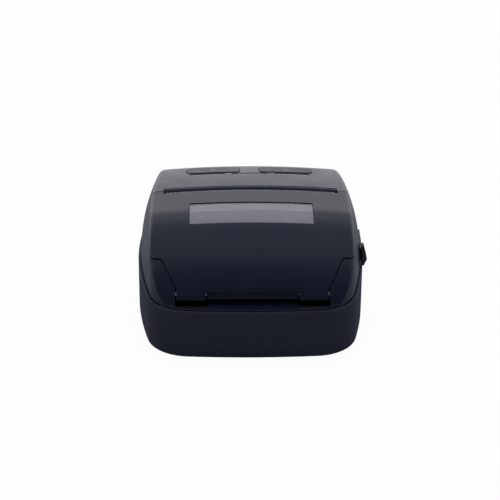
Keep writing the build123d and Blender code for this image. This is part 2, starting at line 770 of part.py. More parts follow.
with BuildPart() as platen_bushes:
    bush_inner_x = roller_half + moving_gap
    bush_outer_x = arm_x + arm_width + 0.2
    add(bar_along_x(bush_radius, bush_inner_x, bush_outer_x, platen_y, platen_z))
    add(bar_along_x(bush_radius, -bush_outer_x, -bush_inner_x, platen_y, platen_z))
    add(bar_along_x(platen_shaft_radius + running_fit, -body_width, body_width, platen_y, platen_z),
        mode=Mode.SUBTRACT)
platen_bushes.part.label = "platen_bushes"

# Gears, each turned so that its teeth stand in mesh with its neighbour's
platen_first = degrees(platen_swing) - 90
idler_first = meshed_tooth(platen_first, platen_teeth, idler_teeth, platen_first)
reduction_first = meshed_tooth(idler_first, idler_teeth, reduction_teeth, 0)
pinion_first = meshed_tooth(reduction_first, reduction_teeth, pinion_teeth, 0)
with BuildPart() as platen_gear:
    add(spur_gear(platen_teeth, platen_first, platen_shaft_radius + press_gap, platen_y, platen_z))
platen_gear.part.label = "platen_gear"

with BuildPart() as idler_gear:
    add(spur_gear(idler_teeth, idler_first, stud_radius + running_fit, idler_y, idler_z))
    add(bar_along_x(stud_radius + 0.8, -gear_x - 0.2, -arm_x, idler_y, idler_z))
    add(bar_along_x(stud_radius + running_fit, -body_width, 0, idler_y, idler_z), mode=Mode.SUBTRACT)
idler_gear.part.label = "idler_gear"

with BuildPart() as reduction_gear:
    add(spur_gear(reduction_teeth, reduction_first, stud_radius + running_fit, reduction_y, idler_z))
    add(bar_along_x(stud_radius + 0.8, -gear_x - 0.2, -arm_x, reduction_y, idler_z))
    add(bar_along_x(stud_radius + running_fit, -body_width, 0, reduction_y, idler_z), mode=Mode.SUBTRACT)
reduction_gear.part.label = "reduction_gear"

with BuildPart() as gear_studs:
    for stud_y in (idler_y, reduction_y):
        add(bar_along_x(stud_radius, -gear_end_x - 0.8, -frame_x, stud_y, idler_z))
        add(bar_along_x(stud_radius + 0.5, -gear_end_x - 0.8, -gear_end_x - 0.3, stud_y, idler_z))
gear_studs.part.label = "gear_studs"

# Stepper motor on the left side plate, with its pinion
motor_ear = (9.0 * cos(radians(30)), 9.0 * sin(radians(30)))
motor_ear_spots = [(motor_y + turn * motor_ear[0], idler_z + turn * motor_ear[1]) for turn in (-1, 1)]
with BuildPart() as stepper_motor:
    add(bar_along_x(motor_radius, -frame_x, motor_length - frame_x, motor_y, idler_z))
    fillet(stepper_motor.edges().group_by(Axis.X)[-1], 0.8)
    with BuildSketch(Plane.YZ.offset(-frame_x)):
        with Locations(motor_ear_spots):
            Circle(2.0)
        with Locations((motor_y, idler_z)):
            Rectangle(2 * hypot(*motor_ear), 4.0, rotation=30)
    extrude(amount=0.8)
    add(bar_along_x(3.0, -frame_outer_x, 0.5 - frame_x, motor_y, idler_z))
    with BuildSketch(Plane.YZ.offset(-frame_x)):
        with Locations(motor_ear_spots):
            Circle(small_screw_shank + press_gap)
    extrude(amount=0.8, mode=Mode.SUBTRACT)
    add(bar_along_x(1.0 + running_fit, -body_width, 4 - frame_x, motor_y, idler_z), mode=Mode.SUBTRACT)
stepper_motor.part.label = "stepper_motor"

with BuildPart() as motor_pinion:
    add(spur_gear(pinion_teeth, pinion_first, 0.5, motor_y, idler_z))
    add(bar_along_x(1.8, -gear_x - 0.2, -arm_x, motor_y, idler_z))
    add(bar_along_x(1.0, -gear_end_x - 0.3, 3.5 - frame_x, motor_y, idler_z))
motor_pinion.part.label = "motor_pinion"

with BuildPart() as motor_screws:
    with Locations(*[Location((-frame_outer_x, y, z), (0, -90, 0)) for y, z in motor_ear_spots]):
        add(screw(small_screw_head, small_screw_head_height, small_screw_shank, plate_thickness + 0.8))
motor_screws.part.label = "motor_screws"

# Printer frame: two side plates, a back plate and feet, folded from sheet steel
head_y = platen_y + platen_radius + 0.3
sink_y = head_y + 1.0
head_bottom = platen_z - head_height / 2 - 1
sink_bottom = head_bottom - 4.8
head_pivot_y = sink_y + sink_thickness / 2
head_pivot_z = sink_bottom + 1.8
back_plate_bottom = sink_bottom + 0.8
with BuildPart() as printer_frame:
    for low_x in (-frame_outer_x, frame_x):
        with BuildSketch(Plane.YZ.offset(low_x)) as side_plate:
            with BuildLine():
                Polyline(
                    (frame_foot_y, frame_foot_z), (frame_rear_y, frame_foot_z),
                    (frame_rear_y, frame_top - 5), (frame_rear_y - 5, frame_top),
                    (frame_front_y, frame_top), (frame_front_y, roll_z + 8),
                    (frame_foot_y, roll_z + 8), close=True)
            make_face()
            fillet(side_plate.vertices().group_by(Axis.X)[0], 1.5)
            with Locations((platen_y, platen_z)):
                Circle(bush_radius + 0.3, mode=Mode.SUBTRACT)
                Rectangle(
                    2 * bush_radius + 8, 2 * bush_radius + 2, rotation=degrees(platen_swing) + 90,
                    align=(Align.MIN, Align.CENTER), mode=Mode.SUBTRACT)
            with Locations((latch_y, latch_z)):
                Circle(latch_shaft_radius + running_fit, mode=Mode.SUBTRACT)
            with Locations((head_pivot_y, head_pivot_z)):
                Circle(1.2 + running_fit, mode=Mode.SUBTRACT)
        extrude(amount=plate_thickness)
    add(block(
        (-frame_x - 0.5, back_plate_y, back_plate_bottom),
        (frame_x + 0.5, back_plate_y + plate_thickness, frame_top - 1.5)))
    for side in (-1, 1):
        for x, y in frame_screw_spots[:2]:
            add(block(
                (min(side * frame_x, side * (frame_outer_x + 7)), y - 3, frame_foot_z),
                (max(side * frame_x, side * (frame_outer_x + 7)), y + 3, frame_foot_z + plate_thickness)))
    add(posts(frame_screw_spots, small_screw_shank + 0.15, 0, body_height), mode=Mode.SUBTRACT)
    # Holes of the left plate: gear studs, motor boss and motor screws
    for hole_radius, hole_y, hole_z in (
            (stud_radius + press_gap, idler_y, idler_z), (stud_radius + press_gap, reduction_y, idler_z),
            (3.0 + press_gap, motor_y, idler_z),
            *[(small_screw_shank + press_gap, y, z) for y, z in motor_ear_spots]):
        add(bar_along_x(hole_radius, -body_width, 0, hole_y, hole_z), mode=Mode.SUBTRACT)
printer_frame.part.label = "printer_frame"

with BuildPart() as frame_screws:
    with Locations(*[Location((x, y, frame_foot_z + plate_thickness)) for x, y in frame_screw_spots]):
        add(screw(
            small_screw_head, small_screw_head_height, small_screw_shank,
            small_screw_length + plate_thickness - 0.3))
frame_screws.part.label = "frame_screws"

# Thermal head on its sprung heat sink, which pivots in the side plates
with BuildPart() as thermal_head:
    add(block(
        (0.6 - roller_half, head_y, head_bottom), (roller_half - 0.6, sink_y, head_bottom + head_height)))
    chamfer(thermal_head.edges().group_by(Axis.Y)[0].filter_by(Axis.X), 0.3)
thermal_head.part.label = "thermal_head"

with BuildPart() as head_sink:
    sink_top = head_bottom + head_height - 1
    sink_rear_y = sink_y + sink_thickness
    add(block(
        (moving_gap - frame_x, sink_y, sink_bottom), (frame_x - moving_gap, sink_rear_y, sink_top)))
    for rib in range(3):
        groove_z = head_bottom + 3.2 + rib * 2.6
        add(block(
            (-body_width, sink_rear_y - 0.9, groove_z), (body_width, half_length, groove_z + 1)),
            mode=Mode.SUBTRACT)
    add(bar_along_x(1.2, -frame_outer_x, frame_outer_x, head_pivot_y, head_pivot_z))
head_sink.part.label = "head_sink"

with BuildPart() as head_springs:
    spring_x = paper_width / 2 - 14
    with Locations(*[
            Location((x, sink_rear_y + 0.3, head_bottom + 5.2), (-90, 0, 0)) for x in (-spring_x, spring_x)]):
        add(coil(1.8, 0.4, 4, back_plate_y - sink_rear_y - 0.6))
head_springs.part.label = "head_springs"

# Paper path: tray for the roll, curved guide under the platen and the paper sensor
tray_inner = roll_diameter / 2 + moving_gap
tray_half = paper_width / 2 + moving_gap
tray_top = latch_z + 1
tray_foot_x = paper_width / 2 - 10
with BuildPart() as paper_tray:
    add(bar_along_x(tray_inner + tray_wall, -tray_half - tray_wall, tray_half + tray_wall, roll_y, roll_z))
    for x in (-tray_foot_x, tray_foot_x):
        add(block((x - 1.5, roll_y - 6, floor_top), (x + 1.5, roll_y + 6, roll_z)))
    add(bar_along_x(tray_inner, -tray_half, tray_half, roll_y, roll_z), mode=Mode.SUBTRACT)
    add(block((-body_width, -half_length, tray_top), (body_width, half_length, body_height)),
        mode=Mode.SUBTRACT)
paper_tray.part.label = "paper_tray"

with BuildPart() as paper_guide:
    with BuildSketch(Plane.YZ.offset(-frame_x)):
        with BuildLine():
            inner_arc = CenterArc((platen_y, platen_z), platen_radius + 1, 190, 110)
            outer_arc = CenterArc((platen_y, platen_z), platen_radius + 2, 190, 110)
            Line(inner_arc @ 0, outer_arc @ 0)
            Line(inner_arc @ 1, outer_arc @ 1)
        make_face()
    extrude(amount=2 * frame_x)
paper_guide.part.label = "paper_guide"

with BuildPart() as paper_sensor:
    add(block((8, platen_y - 4, latch_z + 3.2), (15, platen_y + 1, platen_z)))
    add(bar_along_x(platen_radius + 2, 0, body_width, platen_y, platen_z), mode=Mode.SUBTRACT)
paper_sensor.part.label = "paper_sensor"

# Release latch: a shaft across the frame with a hook at each end and a lever on the right side
with BuildPart() as latch_shaft:
    add(bar_along_x(latch_shaft_radius, -hook_x - hook_width, lever_x + 0.9, latch_y, latch_z))
    chamfer(latch_shaft.edges().group_by(Axis.X)[0], 0.3)
latch_shaft.part.label = "latch_shaft"

with BuildPart() as latch_hooks:
    for low_x in (-hook_x - hook_width, hook_x):
        with BuildSketch(Plane.YZ.offset(low_x)):
            with Locations((latch_y, latch_z)):
                Circle(latch_shaft_radius + 1.2)
            with BuildLine():
                Polyline(
                    (latch_y, latch_z + 2.5), (latch_y + 0.3, platen_z), (latch_y - 2.0, platen_z + 4),
                    (latch_y - 0.5, platen_z + 5.5), (latch_y + 4.5, platen_z + 3.5),
                    (latch_y + 4.5, latch_z + 7), (latch_y + 2.8, latch_z), close=True)
            make_face()
            with Locations((latch_y, latch_z)):
                Circle(latch_shaft_radius + press_gap, mode=Mode.SUBTRACT)
            with Locations((hinge_y, hinge_z)):
                Circle(platen_reach + bush_radius + 0.35, mode=Mode.SUBTRACT)
        extrude(amount=hook_width)
latch_hooks.part.label = "latch_hooks"

with BuildPart() as release_lever:
    # The arm lies in the case's recess, and the wedge-shaped paddle stands out at its front end
    with BuildSketch(Plane.YZ.offset(lever_x)):
        with Locations((latch_y, latch_z)):
            Circle(lever_hub_radius)
        with Locations((paddle_front_y + paddle_length / 2 + moving_gap, latch_z)):
            Rectangle(1, lever_arm_height, align=(Align.MIN, Align.CENTER))
        make_hull()
        with Locations((latch_y, latch_z)):
            Circle(latch_shaft_radius + press_gap, mode=Mode.SUBTRACT)
    extrude(amount=lever_arm_thickness)
    with BuildPart(mode=Mode.PRIVATE) as paddle:
        with BuildSketch(Plane.XZ.offset(-paddle_front_y)):
            with BuildLine():
                Polyline(
                    (paddle_x, paddle_bottom), (paddle_x + paddle_edge, paddle_bottom),
                    (paddle_x + paddle_thickness, paddle_peak_z - 0.5),
                    (paddle_x + paddle_thickness, paddle_peak_z + 0.5),
                    (paddle_x + paddle_edge, paddle_top), (paddle_x, paddle_top), close=True)
            make_face()
        extrude(amount=-paddle_length)
        fillet(paddle.edges().filter_by(Axis.X), 0.8)
    add(paddle.part)
release_lever.part.label = "release_lever"

with BuildPart() as latch_spring:
    with Locations(Location((30, latch_y, latch_z), (0, 90, 0))):
        add(coil(latch_shaft_radius + 0.5, 0.4, 5, 4))
latch_spring.part.label = "latch_spring"

# Main board and what stands on it
with BuildPart() as main_board:
    add(block(
        (-board_width / 2, board_front_y, board_z), (board_width / 2, board_rear_y, board_top)))
    add(posts(board_screw_spots, small_screw_shank + 0.15, 0, body_height), mode=Mode.SUBTRACT)
main_board.part.label = "main_board"

with BuildPart() as board_screws:
    with Locations(*[Location((x, y, board_top)) for x, y in board_screw_spots]):
        add(screw(
            small_screw_head, small_screw_head_height, small_screw_shank,
            board_thickness + standoff + well_wall - 0.7))
board_screws.part.label = "board_screws"

port_rear_y = half_length - 2.8
with BuildPart() as usb_port:
    add(block(
        (usb_x - usb_width / 2, port_rear_y - 9, board_top),
        (usb_x + usb_width / 2, port_rear_y, board_top + usb_height)))
    fillet(usb_port.edges().filter_by(Axis.Y), 0.8)
    add(block(
        (usb_x - usb_width / 2 + 0.5, port_rear_y - 7, board_top + 0.5),
        (usb_x + usb_width / 2 - 0.5, port_rear_y + 1, board_top + usb_height - 0.5)), mode=Mode.SUBTRACT)
    add(block(
        (usb_x - usb_width / 2 + 1.5, port_rear_y - 8, usb_z - 0.5),
        (usb_x + usb_width / 2 - 1.5, port_rear_y - 1, usb_z + 0.5)))
usb_port.part.label = "usb_port"

with BuildPart() as dc_jack:
    add(block(
        (jack_x - 4.5, port_rear_y - 12, board_top),
        (jack_x + 4.5, port_rear_y - 2, board_top + jack_height)))
    with BuildSketch(Plane.XZ.offset(-port_rear_y)):
        with Locations((jack_x, jack_z)):
            Circle(jack_mouth_radius)
    extrude(amount=4)
    with BuildSketch(Plane.XZ.offset(-port_rear_y)):
        with Locations((jack_x, jack_z)):
            Circle(jack_bore_radius)
            Circle(1.0, mode=Mode.SUBTRACT)
    extrude(amount=9, mode=Mode.SUBTRACT)
dc_jack.part.label = "dc_jack"

radio_x = board_width / 2 - 25
radio_y = board_front_y + 12
with BuildPart() as radio_module:
    add(block((radio_x, radio_y, board_top), (radio_x + 20, radio_y + 14, board_top + 0.8)))
    add(block((radio_x + 2, radio_y + 2, board_top), (radio_x + 15, radio_y + 12, board_top + 2.6)))
radio_module.part.label = "radio_module"

buzzer_spot = [(13 - board_width / 2, board_rear_y - 7)]
with BuildPart() as buzzer:
    add(posts(buzzer_spot, 4.5, board_top, board_top + 4.5))
    fillet(buzzer.edges().group_by(Axis.Z)[-1], 0.5)
    add(posts(buzzer_spot, 1.0, board_top + 2, form_top), mode=Mode.SUBTRACT)
buzzer.part.label = "buzzer"

head_socket_y = board_front_y + 2.5
motor_socket_x = motor_length - frame_x + 7
panel_socket_x = board_width / 2 - 15
panel_socket_y = board_rear_y - 3
socket_top = board_top + 3
with BuildPart() as board_sockets:
    add(block((-16, head_socket_y, board_top), (16, head_socket_y + 4, socket_top)))
    add(block(
        (motor_socket_x - 3, motor_y - 4, board_top), (motor_socket_x + 3, motor_y + 4, socket_top)))
    add(block(
        (panel_socket_x - 6, panel_socket_y - 2, board_top),
        (panel_socket_x + 6, panel_socket_y + 2, socket_top)))
board_sockets.part.label = "board_sockets"

# Flat cables, each a bent strip between its two ends
cable_thickness = 0.3
with BuildPart() as head_cable:
    with BuildSketch(Plane.YZ.offset(-15)):
        with BuildLine():
            cable_y = sink_y - 0.35
            socket_z = board_top + 1.5
            FilletPolyline(
                (cable_y, head_bottom - seat_gap), (cable_y, latch_z + 0.5),
                (cable_y + 4, socket_z), (head_socket_y, socket_z), radius=2)
        trace(line_width=cable_thickness)
    extrude(amount=30)
head_cable.part.label = "head_cable"

with BuildPart() as motor_cable:
    with BuildSketch(Plane.XZ.offset(-motor_y - 3)):
        with BuildLine():
            FilletPolyline(
                (motor_length - frame_x, idler_z - 2.5), (motor_socket_x, idler_z - 2.5),
                (motor_socket_x, socket_top), radius=2)
        trace(line_width=cable_thickness)
    extrude(amount=6)
motor_cable.part.label = "motor_cable"

with BuildPart() as panel_cable:
    with BuildSketch(Plane.YZ.offset(panel_socket_x - 5)):
        with BuildLine():
            drop_y = button_front_y + button_length + 1
            FilletPolyline(
                (drop_y, panel_board_z), (drop_y, panel_board_z - 4), (panel_socket_y, socket_top + 4),
                (panel_socket_y, socket_top), radius=1.5)
        trace(line_width=cable_thickness)
    extrude(amount=10)
panel_cable.part.label = "panel_cable"

# Control panel: its board, switches and lamps, the two buttons and the indicator lenses
with BuildPart() as panel_board:
    panel_board_half = button_inner_x + button_width + 6
    add(block(
        (-panel_board_half, lens_y - 2.6, panel_board_z),
        (panel_board_half, button_front_y + button_length + 3.5, panel_board_top)))
    add(posts(panel_post_spots, small_screw_shank + 0.15, 0, body_height), mode=Mode.SUBTRACT)
panel_board.part.label = "panel_board"

with BuildPart() as panel_screws:
    with Locations(*[Location((x, y, panel_board_z), (180, 0, 0)) for x, y in panel_post_spots]):
        add(screw(small_screw_head, small_screw_head_height, small_screw_shank, board_thickness + 3.6))
panel_screws.part.label = "panel_screws"

switch_top = panel_board_top + switch_height
with BuildPart() as tact_switches:
    for side in (-1, 1):
        with BuildSketch(Plane.XY.offset(panel_board_top)):
            with Locations((side * button_middle_x, button_middle_y)):
                RectangleRounded(6, 6, 0.6)
        extrude(amount=switch_height - 0.7)
        add(posts([(side * button_middle_x, button_middle_y)], 1.6, panel_board_top, switch_top))
tact_switches.part.label = "tact_switches"

with BuildPart() as indicator_lamps:
    with BuildSketch(Plane.XY.offset(panel_board_top)):
        with Locations(lens_spots):
            Rectangle(3.2, 1.6)
    extrude(amount=0.8)
indicator_lamps.part.label = "indicator_lamps"

button_bottom = switch_top + button_travel + 0.05


def panel_button(side):
    """A button: a skin that follows the panel, a flange under the wall, a stem over its switch."""
    with BuildPart() as flange:
        extrude(button_outline(side, 0.7, button_bottom), amount=form_top - button_bottom)
        with Locations((0, 0, -surface_step)):
            add(inner_form, mode=Mode.INTERSECT)
    with BuildPart() as button:
        extrude(button_outline(side, 0, button_bottom), amount=form_top - button_bottom)
        add(proud_form, mode=Mode.INTERSECT)
        add(flange.part)
        extrude(button_outline(side, -button_skin, button_bottom), amount=4.2, mode=Mode.SUBTRACT)
        add(posts([(side * button_middle_x, button_middle_y)], 1.6, button_bottom, button_bottom + 4.4))
    return button.part


with BuildPart() as feed_button:
    add(panel_button(-1))
feed_button.part.label = "feed_button"

with BuildPart() as power_button:
    add(panel_button(1))
power_button.part.label = "power_button"

with BuildPart() as indicator_lenses:
    with BuildPart(mode=Mode.PRIVATE) as lens_strip:
        strip_end_x = lens_spacing + lens_width / 2 + 1.2
        add(block(
            (-strip_end_x, lens_y - lens_length / 2 - 1, panel_board_top),
            (strip_end_x, lens_y + lens_length / 2 + 0.5, form_top)))
        add(inner_form, mode=Mode.INTERSECT)
        add(flange_form, mode=Mode.SUBTRACT)
    with BuildSketch(Plane.XY.offset(panel_board_top + 1.4)):
        with Locations(lens_spots):
            RectangleRounded(lens_width, lens_length, 0.7)
    extrude(amount=form_top)
    add(lens_form, mode=Mode.INTERSECT)
    add(lens_strip.part)
indicator_lenses.part.label = "indicator_lenses"

# Battery, its contacts, its catch and the catch's spring
with BuildPart() as battery_pack:
    add(block(
        (-battery_width / 2, battery_front_y, foot_height),
        (battery_width / 2, battery_rear_y, foot_height + battery_depth)))
    fillet(battery_pack.edges().filter_by(Axis.Z), 1.5)
    fillet(battery_pack.edges().group_by(Axis.Z)[-1], 1.0)
    chamfer(battery_pack.edges().group_by(Axis.Z)[0], 0.4)
    add(block(
        (-catch_nose_width / 2 - moving_gap, battery_front_y - 1, catch_z - moving_gap),
        (catch_nose_width / 2 + moving_gap, battery_front_y + 1.4, catch_z + catch_height + moving_gap)),
        mode=Mode.SUBTRACT)
    with BuildSketch(Plane.XY.offset(foot_height)):
        for rib in range(4):
            with Locations((0, battery_front_y + 6 + rib * 2.4)):
                SlotOverall(20, 1.2)
    extrude(amount=0.8, mode=Mode.SUBTRACT)
battery_pack.part.label = "battery_pack"

with BuildPart() as battery_contacts:
    contact_bottom = foot_height + battery_depth + 0.3
    with BuildSketch(Plane.XY.offset(contact_bottom)):
        with Locations(contact_spots):
            Rectangle(1.4, 1.8)
    extrude(amount=board_z - contact_bottom)
battery_contacts.part.label = "battery_contacts"

with BuildPart() as battery_catch:
    thumb_rear_y = catch_y + catch_slot_length / 2 - 0.3
    flange_front_y = thumb_rear_y - catch_thumb_length - 1.2
    add(block(
        (0.3 - catch_width / 2, thumb_rear_y - catch_thumb_length, foot_height + seat_gap),
        (catch_width / 2 - 0.3, thumb_rear_y, catch_z + 0.5)))
    for rib in range(3):
        groove_y = thumb_rear_y - 1.1 - rib * 1.3
        add(block((-body_width, groove_y - 0.5, 0), (body_width, groove_y, foot_height + 0.7)),
            mode=Mode.SUBTRACT)
    add(block(
        (-catch_width / 2 - 2, flange_front_y, catch_z),
        (catch_width / 2 + 2, thumb_rear_y, catch_z + catch_height)))
    add(block(
        (-catch_nose_width / 2, thumb_rear_y - 1, catch_z),
        (catch_nose_width / 2, battery_front_y - moving_gap, catch_z + catch_height)))
    add(block((-2.5, flange_front_y, catch_z), (2.5, flange_front_y + 1.2, catch_z + 2.6)))
battery_catch.part.label = "battery_catch"

with BuildPart() as catch_spring:
    with Locations(Location((0, spring_stop_y + 0.3, catch_z + 1.2), (-90, 0, 0))):
        add(coil(1.1, 0.3, 6, flange_front_y - spring_stop_y - 0.6))
catch_spring.part.label = "catch_spring"

# Case screws, from below through the lower case into the upper case
with BuildPart() as case_screws:
    with Locations(*[Location((x, y, case_screw_seat), (180, 0, 0)) for x, y in case_screw_spots]):
        add(screw(case_screw_head, case_screw_head_height, case_screw_shank, case_screw_length))
case_screws.part.label = "case_screws"

# Rubber flap over the ports at the rear
with BuildPart() as port_flap:
    add(block(
        (flap_x - flap_width / 2, flap_y, flap_pin_z),
        (flap_x + flap_width / 2, flap_y + flap_thickness, flap_pin_z + flap_height)))
    fillet(port_flap.edges().filter_by(Axis.Y).group_by(Axis.Z)[-1], 2.0)
    add(bar_along_x(
        flap_pin_radius, flap_x - flap_width / 2 - 1.3, flap_x + flap_width / 2 + 1.3,
        flap_pin_y, flap_pin_z))
port_flap.part.label = "port_flap"

for piece in (
        lower_case, rubber_feet, upper_case, hinge_pin, paper_cover, cover_window, tear_bar, paper_lip,
        platen_carrier, cover_screws, platen_shaft, platen_roller, platen_bushes, platen_gear, idler_gear,
        reduction_gear, gear_studs, stepper_motor, motor_pinion, motor_screws, printer_frame, frame_screws,
        thermal_head, head_sink, head_springs, paper_tray, paper_guide, paper_sensor, latch_shaft,
        latch_hooks, release_lever, latch_spring, main_board, board_screws, usb_port, dc_jack, radio_module,
        buzzer, board_sockets, head_cable, motor_cable, panel_cable, panel_board, panel_screws,
        tact_switches, indicator_lamps, feed_button, power_button, indicator_lenses, battery_pack,
        battery_contacts, battery_catch, catch_spring, case_screws, port_flap):
    export_step(piece.part, f"parts/{piece.part.label}.step")
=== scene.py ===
# %% [markdown]
# # A portable receipt printer
# The object is a palm-sized printer for 80 mm paper rolls: a black tub, a glossy upper case, a
# cover with a clear strip in its bend, a toothed slot for the paper, two flat buttons and a release
# lever on one side. Its solids come from a imported model, in metres, standing on the table at z = 0.
# Blender's job here is the finish of every surface, copies of the springs, the printed
# marks, the table, the light and the camera.

# %% Load the imported model
import json
import math

import bmesh
import bpy
from mathutils import Matrix, Vector
from mathutils.bvhtree import BVHTree


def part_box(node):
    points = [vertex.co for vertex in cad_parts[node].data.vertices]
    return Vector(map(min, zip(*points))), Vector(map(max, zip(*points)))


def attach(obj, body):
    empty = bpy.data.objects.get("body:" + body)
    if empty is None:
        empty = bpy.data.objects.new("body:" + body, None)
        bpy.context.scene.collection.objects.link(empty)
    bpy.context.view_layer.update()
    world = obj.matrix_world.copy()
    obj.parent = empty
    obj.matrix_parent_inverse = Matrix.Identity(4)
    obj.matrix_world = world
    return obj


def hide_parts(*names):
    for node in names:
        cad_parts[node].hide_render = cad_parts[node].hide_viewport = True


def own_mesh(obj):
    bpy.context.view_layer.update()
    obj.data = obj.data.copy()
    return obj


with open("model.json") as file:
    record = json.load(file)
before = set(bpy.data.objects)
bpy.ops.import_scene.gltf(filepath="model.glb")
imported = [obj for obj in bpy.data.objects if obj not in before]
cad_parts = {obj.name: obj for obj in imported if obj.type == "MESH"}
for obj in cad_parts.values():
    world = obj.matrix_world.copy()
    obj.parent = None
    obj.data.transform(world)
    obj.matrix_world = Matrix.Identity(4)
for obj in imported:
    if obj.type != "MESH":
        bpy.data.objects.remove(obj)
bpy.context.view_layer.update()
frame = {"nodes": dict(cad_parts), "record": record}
MM = 0.001

# %% [markdown]
# ## Colours and nodes
# Colours are given as sRGB hex values, the way a paint chart gives them, but a renderer
# adds light in linear values. One function turns the first into the second. A second small function
# adds a node with its settings, its input values and its links, so that a finish reads as a list.

# %% Helpers for colours and nodes
def linear(hex_colour):
    """The linear colour with alpha of an sRGB hex value."""
    channels = [int(hex_colour[i:i + 2], 16) / 255 for i in (1, 3, 5)]
    return (*[c / 12.92 if c <= 0.04045 else ((c + 0.055) / 1.055) ** 2.4 for c in channels], 1.0)


def add_node(tree, kind, values=None, links=None, **settings):
    """Adds a node of a kind, with settings, values on its inputs and links into its inputs."""
    node = tree.nodes.new(kind)
    for name, value in settings.items():
        setattr(node, name, value)
    for socket, value in (values or {}).items():
        node.inputs[socket].default_value = value
    for socket, source in (links or {}).items():
        tree.links.new(source, node.inputs[socket])
    return node


def start_finish(name):
    """A new material with nothing but its output and the object's own coordinates."""
    material = bpy.data.materials.new(name)
    material.use_nodes = True
    tree = material.node_tree
    tree.nodes.clear()
    output = add_node(tree, "ShaderNodeOutputMaterial")
    place = add_node(tree, "ShaderNodeTexCoord").outputs["Object"]
    return material, tree, output, place


# %% [markdown]
# ## Rounded, worn and highlighted edges
# No moulded edge is perfectly sharp: the mould leaves about 0.3 mm of radius, and hands polish it.
# The solids keep their small edges sharp, as a drawing does. A Bevel node bends only the shading
# there, and the angle between its normal and the true one tells where an edge is. That mask
# makes the edge a little lighter and smoother, as rubbed plastic is. On the clear windows the same
# mask paints a highlight along the edges and the ridge.

# %% Helper for worn and highlighted edges
def edge_wear_and_highlight(tree, radius, full_at=0.8):
    """A normal that rounds the edges, and a mask that is 1 on them and 0 on the flats.

    The mask reaches 1 where the cosine between the rounded and the true normal is full_at.
    """
    rounded = add_node(tree, "ShaderNodeBevel", {"Radius": radius}, samples=6).outputs["Normal"]
    true = add_node(tree, "ShaderNodeNewGeometry").outputs["True Normal"]
    facing = add_node(
        tree, "ShaderNodeVectorMath", links={0: rounded, 1: true}, operation="DOT_PRODUCT")
    mask = add_node(
        tree, "ShaderNodeMapRange",
        {"From Min": 1.0, "From Max": full_at, "To Min": 0.0, "To Max": 1.0},
        {"Value": facing.outputs["Value"]})
    return rounded, mask.outputs["Result"]


# %% [markdown]
# ## Moulded plastic
# Both halves of the case are injection-moulded ABS, coloured right through with carbon black. What
# differs is the mould: the tub's was etched to a fine matte grain, those of the upper case and the
# cover were polished to a soft gloss. So one recipe serves every moulded piece, with a base colour,
# a roughness, and the size and depth of the grain. The etched grain is 0.2 mm in reality. It is
# drawn at 0.5 mm, because a picture of this size shows nothing finer. Slow drifts of roughness,
# 15 mm across, are the flow of the plastic in the mould.

# %% Moulded plastic finish
def moulded_plastic(name, dark, light, roughness, grain, depth, specular=0.5, edge=0.3 * MM):
    """Plastic from a mould: dark on its flats, light on its edges, with a grain of that size."""
    material, tree, output, place = start_finish(name)
    rounded, mask = edge_wear_and_highlight(tree, edge)
    flow = add_node(
        tree, "ShaderNodeTexNoise", {"Scale": 1 / (15 * MM), "Detail": 3.0}, {"Vector": place})
    grains = add_node(
        tree, "ShaderNodeTexNoise", {"Scale": 1 / grain, "Detail": 2.0}, {"Vector": place})
    colour = add_node(
        tree, "ShaderNodeMix", {6: linear(dark), 7: linear(light)}, {0: mask}, data_type="RGBA")
    drift = add_node(
        tree, "ShaderNodeMapRange",
        {"From Min": 0.3, "From Max": 0.7, "To Min": roughness - 0.05, "To Max": roughness + 0.05},
        {"Value": flow.outputs["Fac"]})
    rubbed = add_node(
        tree, "ShaderNodeMath", {1: 0.08}, {0: mask}, operation="MULTIPLY")
    gloss = add_node(
        tree, "ShaderNodeMath", links={0: drift.outputs["Result"], 1: rubbed.outputs["Value"]},
        operation="SUBTRACT")
    bump = add_node(
        tree, "ShaderNodeBump", {"Strength": 0.5, "Distance": depth},
        {"Height": grains.outputs["Fac"], "Normal": rounded})
    shader = add_node(
        tree, "ShaderNodeBsdfPrincipled", {"IOR": 1.53, "Specular IOR Level": specular},
        {"Base Color": colour.outputs[2], "Roughness": gloss.outputs["Value"],
         "Normal": bump.outputs["Normal"]})
    tree.links.new(shader.outputs["BSDF"], output.inputs["Surface"])
    return material


finishes = {
    "tub_black": moulded_plastic(
        "etched black ABS", "#252937", "#3c4150", 0.58, 0.5 * MM, 0.02 * MM, specular=0.16),
    "case_gloss": moulded_plastic(
        "soft-gloss black ABS", "#0c1120", "#161b28", 0.29, 0.9 * MM, 0.004 * MM),
    "slot_grey": moulded_plastic(
        "glass-filled grey nylon", "#5c5e6c", "#70727f", 0.5, 0.4 * MM, 0.01 * MM, specular=0.3),
    "button_grey": moulded_plastic(
        "satin dark grey ABS", "#1c1e24", "#2a2d34", 0.42, 0.5 * MM, 0.008 * MM),
    "lever_grey": moulded_plastic(
        "satin charcoal ABS", "#222226", "#34343a", 0.45, 0.5 * MM, 0.01 * MM),
    "trim_black": moulded_plastic(
        "matte black polycarbonate", "#0e0e10", "#1a1a1d", 0.6, 0.5 * MM, 0.015 * MM),
    "battery_black": moulded_plastic(
        "etched battery shell ABS", "#131316", "#1f1f24", 0.55, 0.5 * MM, 0.02 * MM),
    "module_grey": moulded_plastic(
        "filled dark nylon", "#26272a", "#36373b", 0.5, 0.4 * MM, 0.01 * MM),
    "gear_white": moulded_plastic(
        "natural acetal", "#d8d5c8", "#e6e3d8", 0.38, 0.4 * MM, 0.004 * MM),
}
print("moulded finishes:", ", ".join(sorted(finishes)))
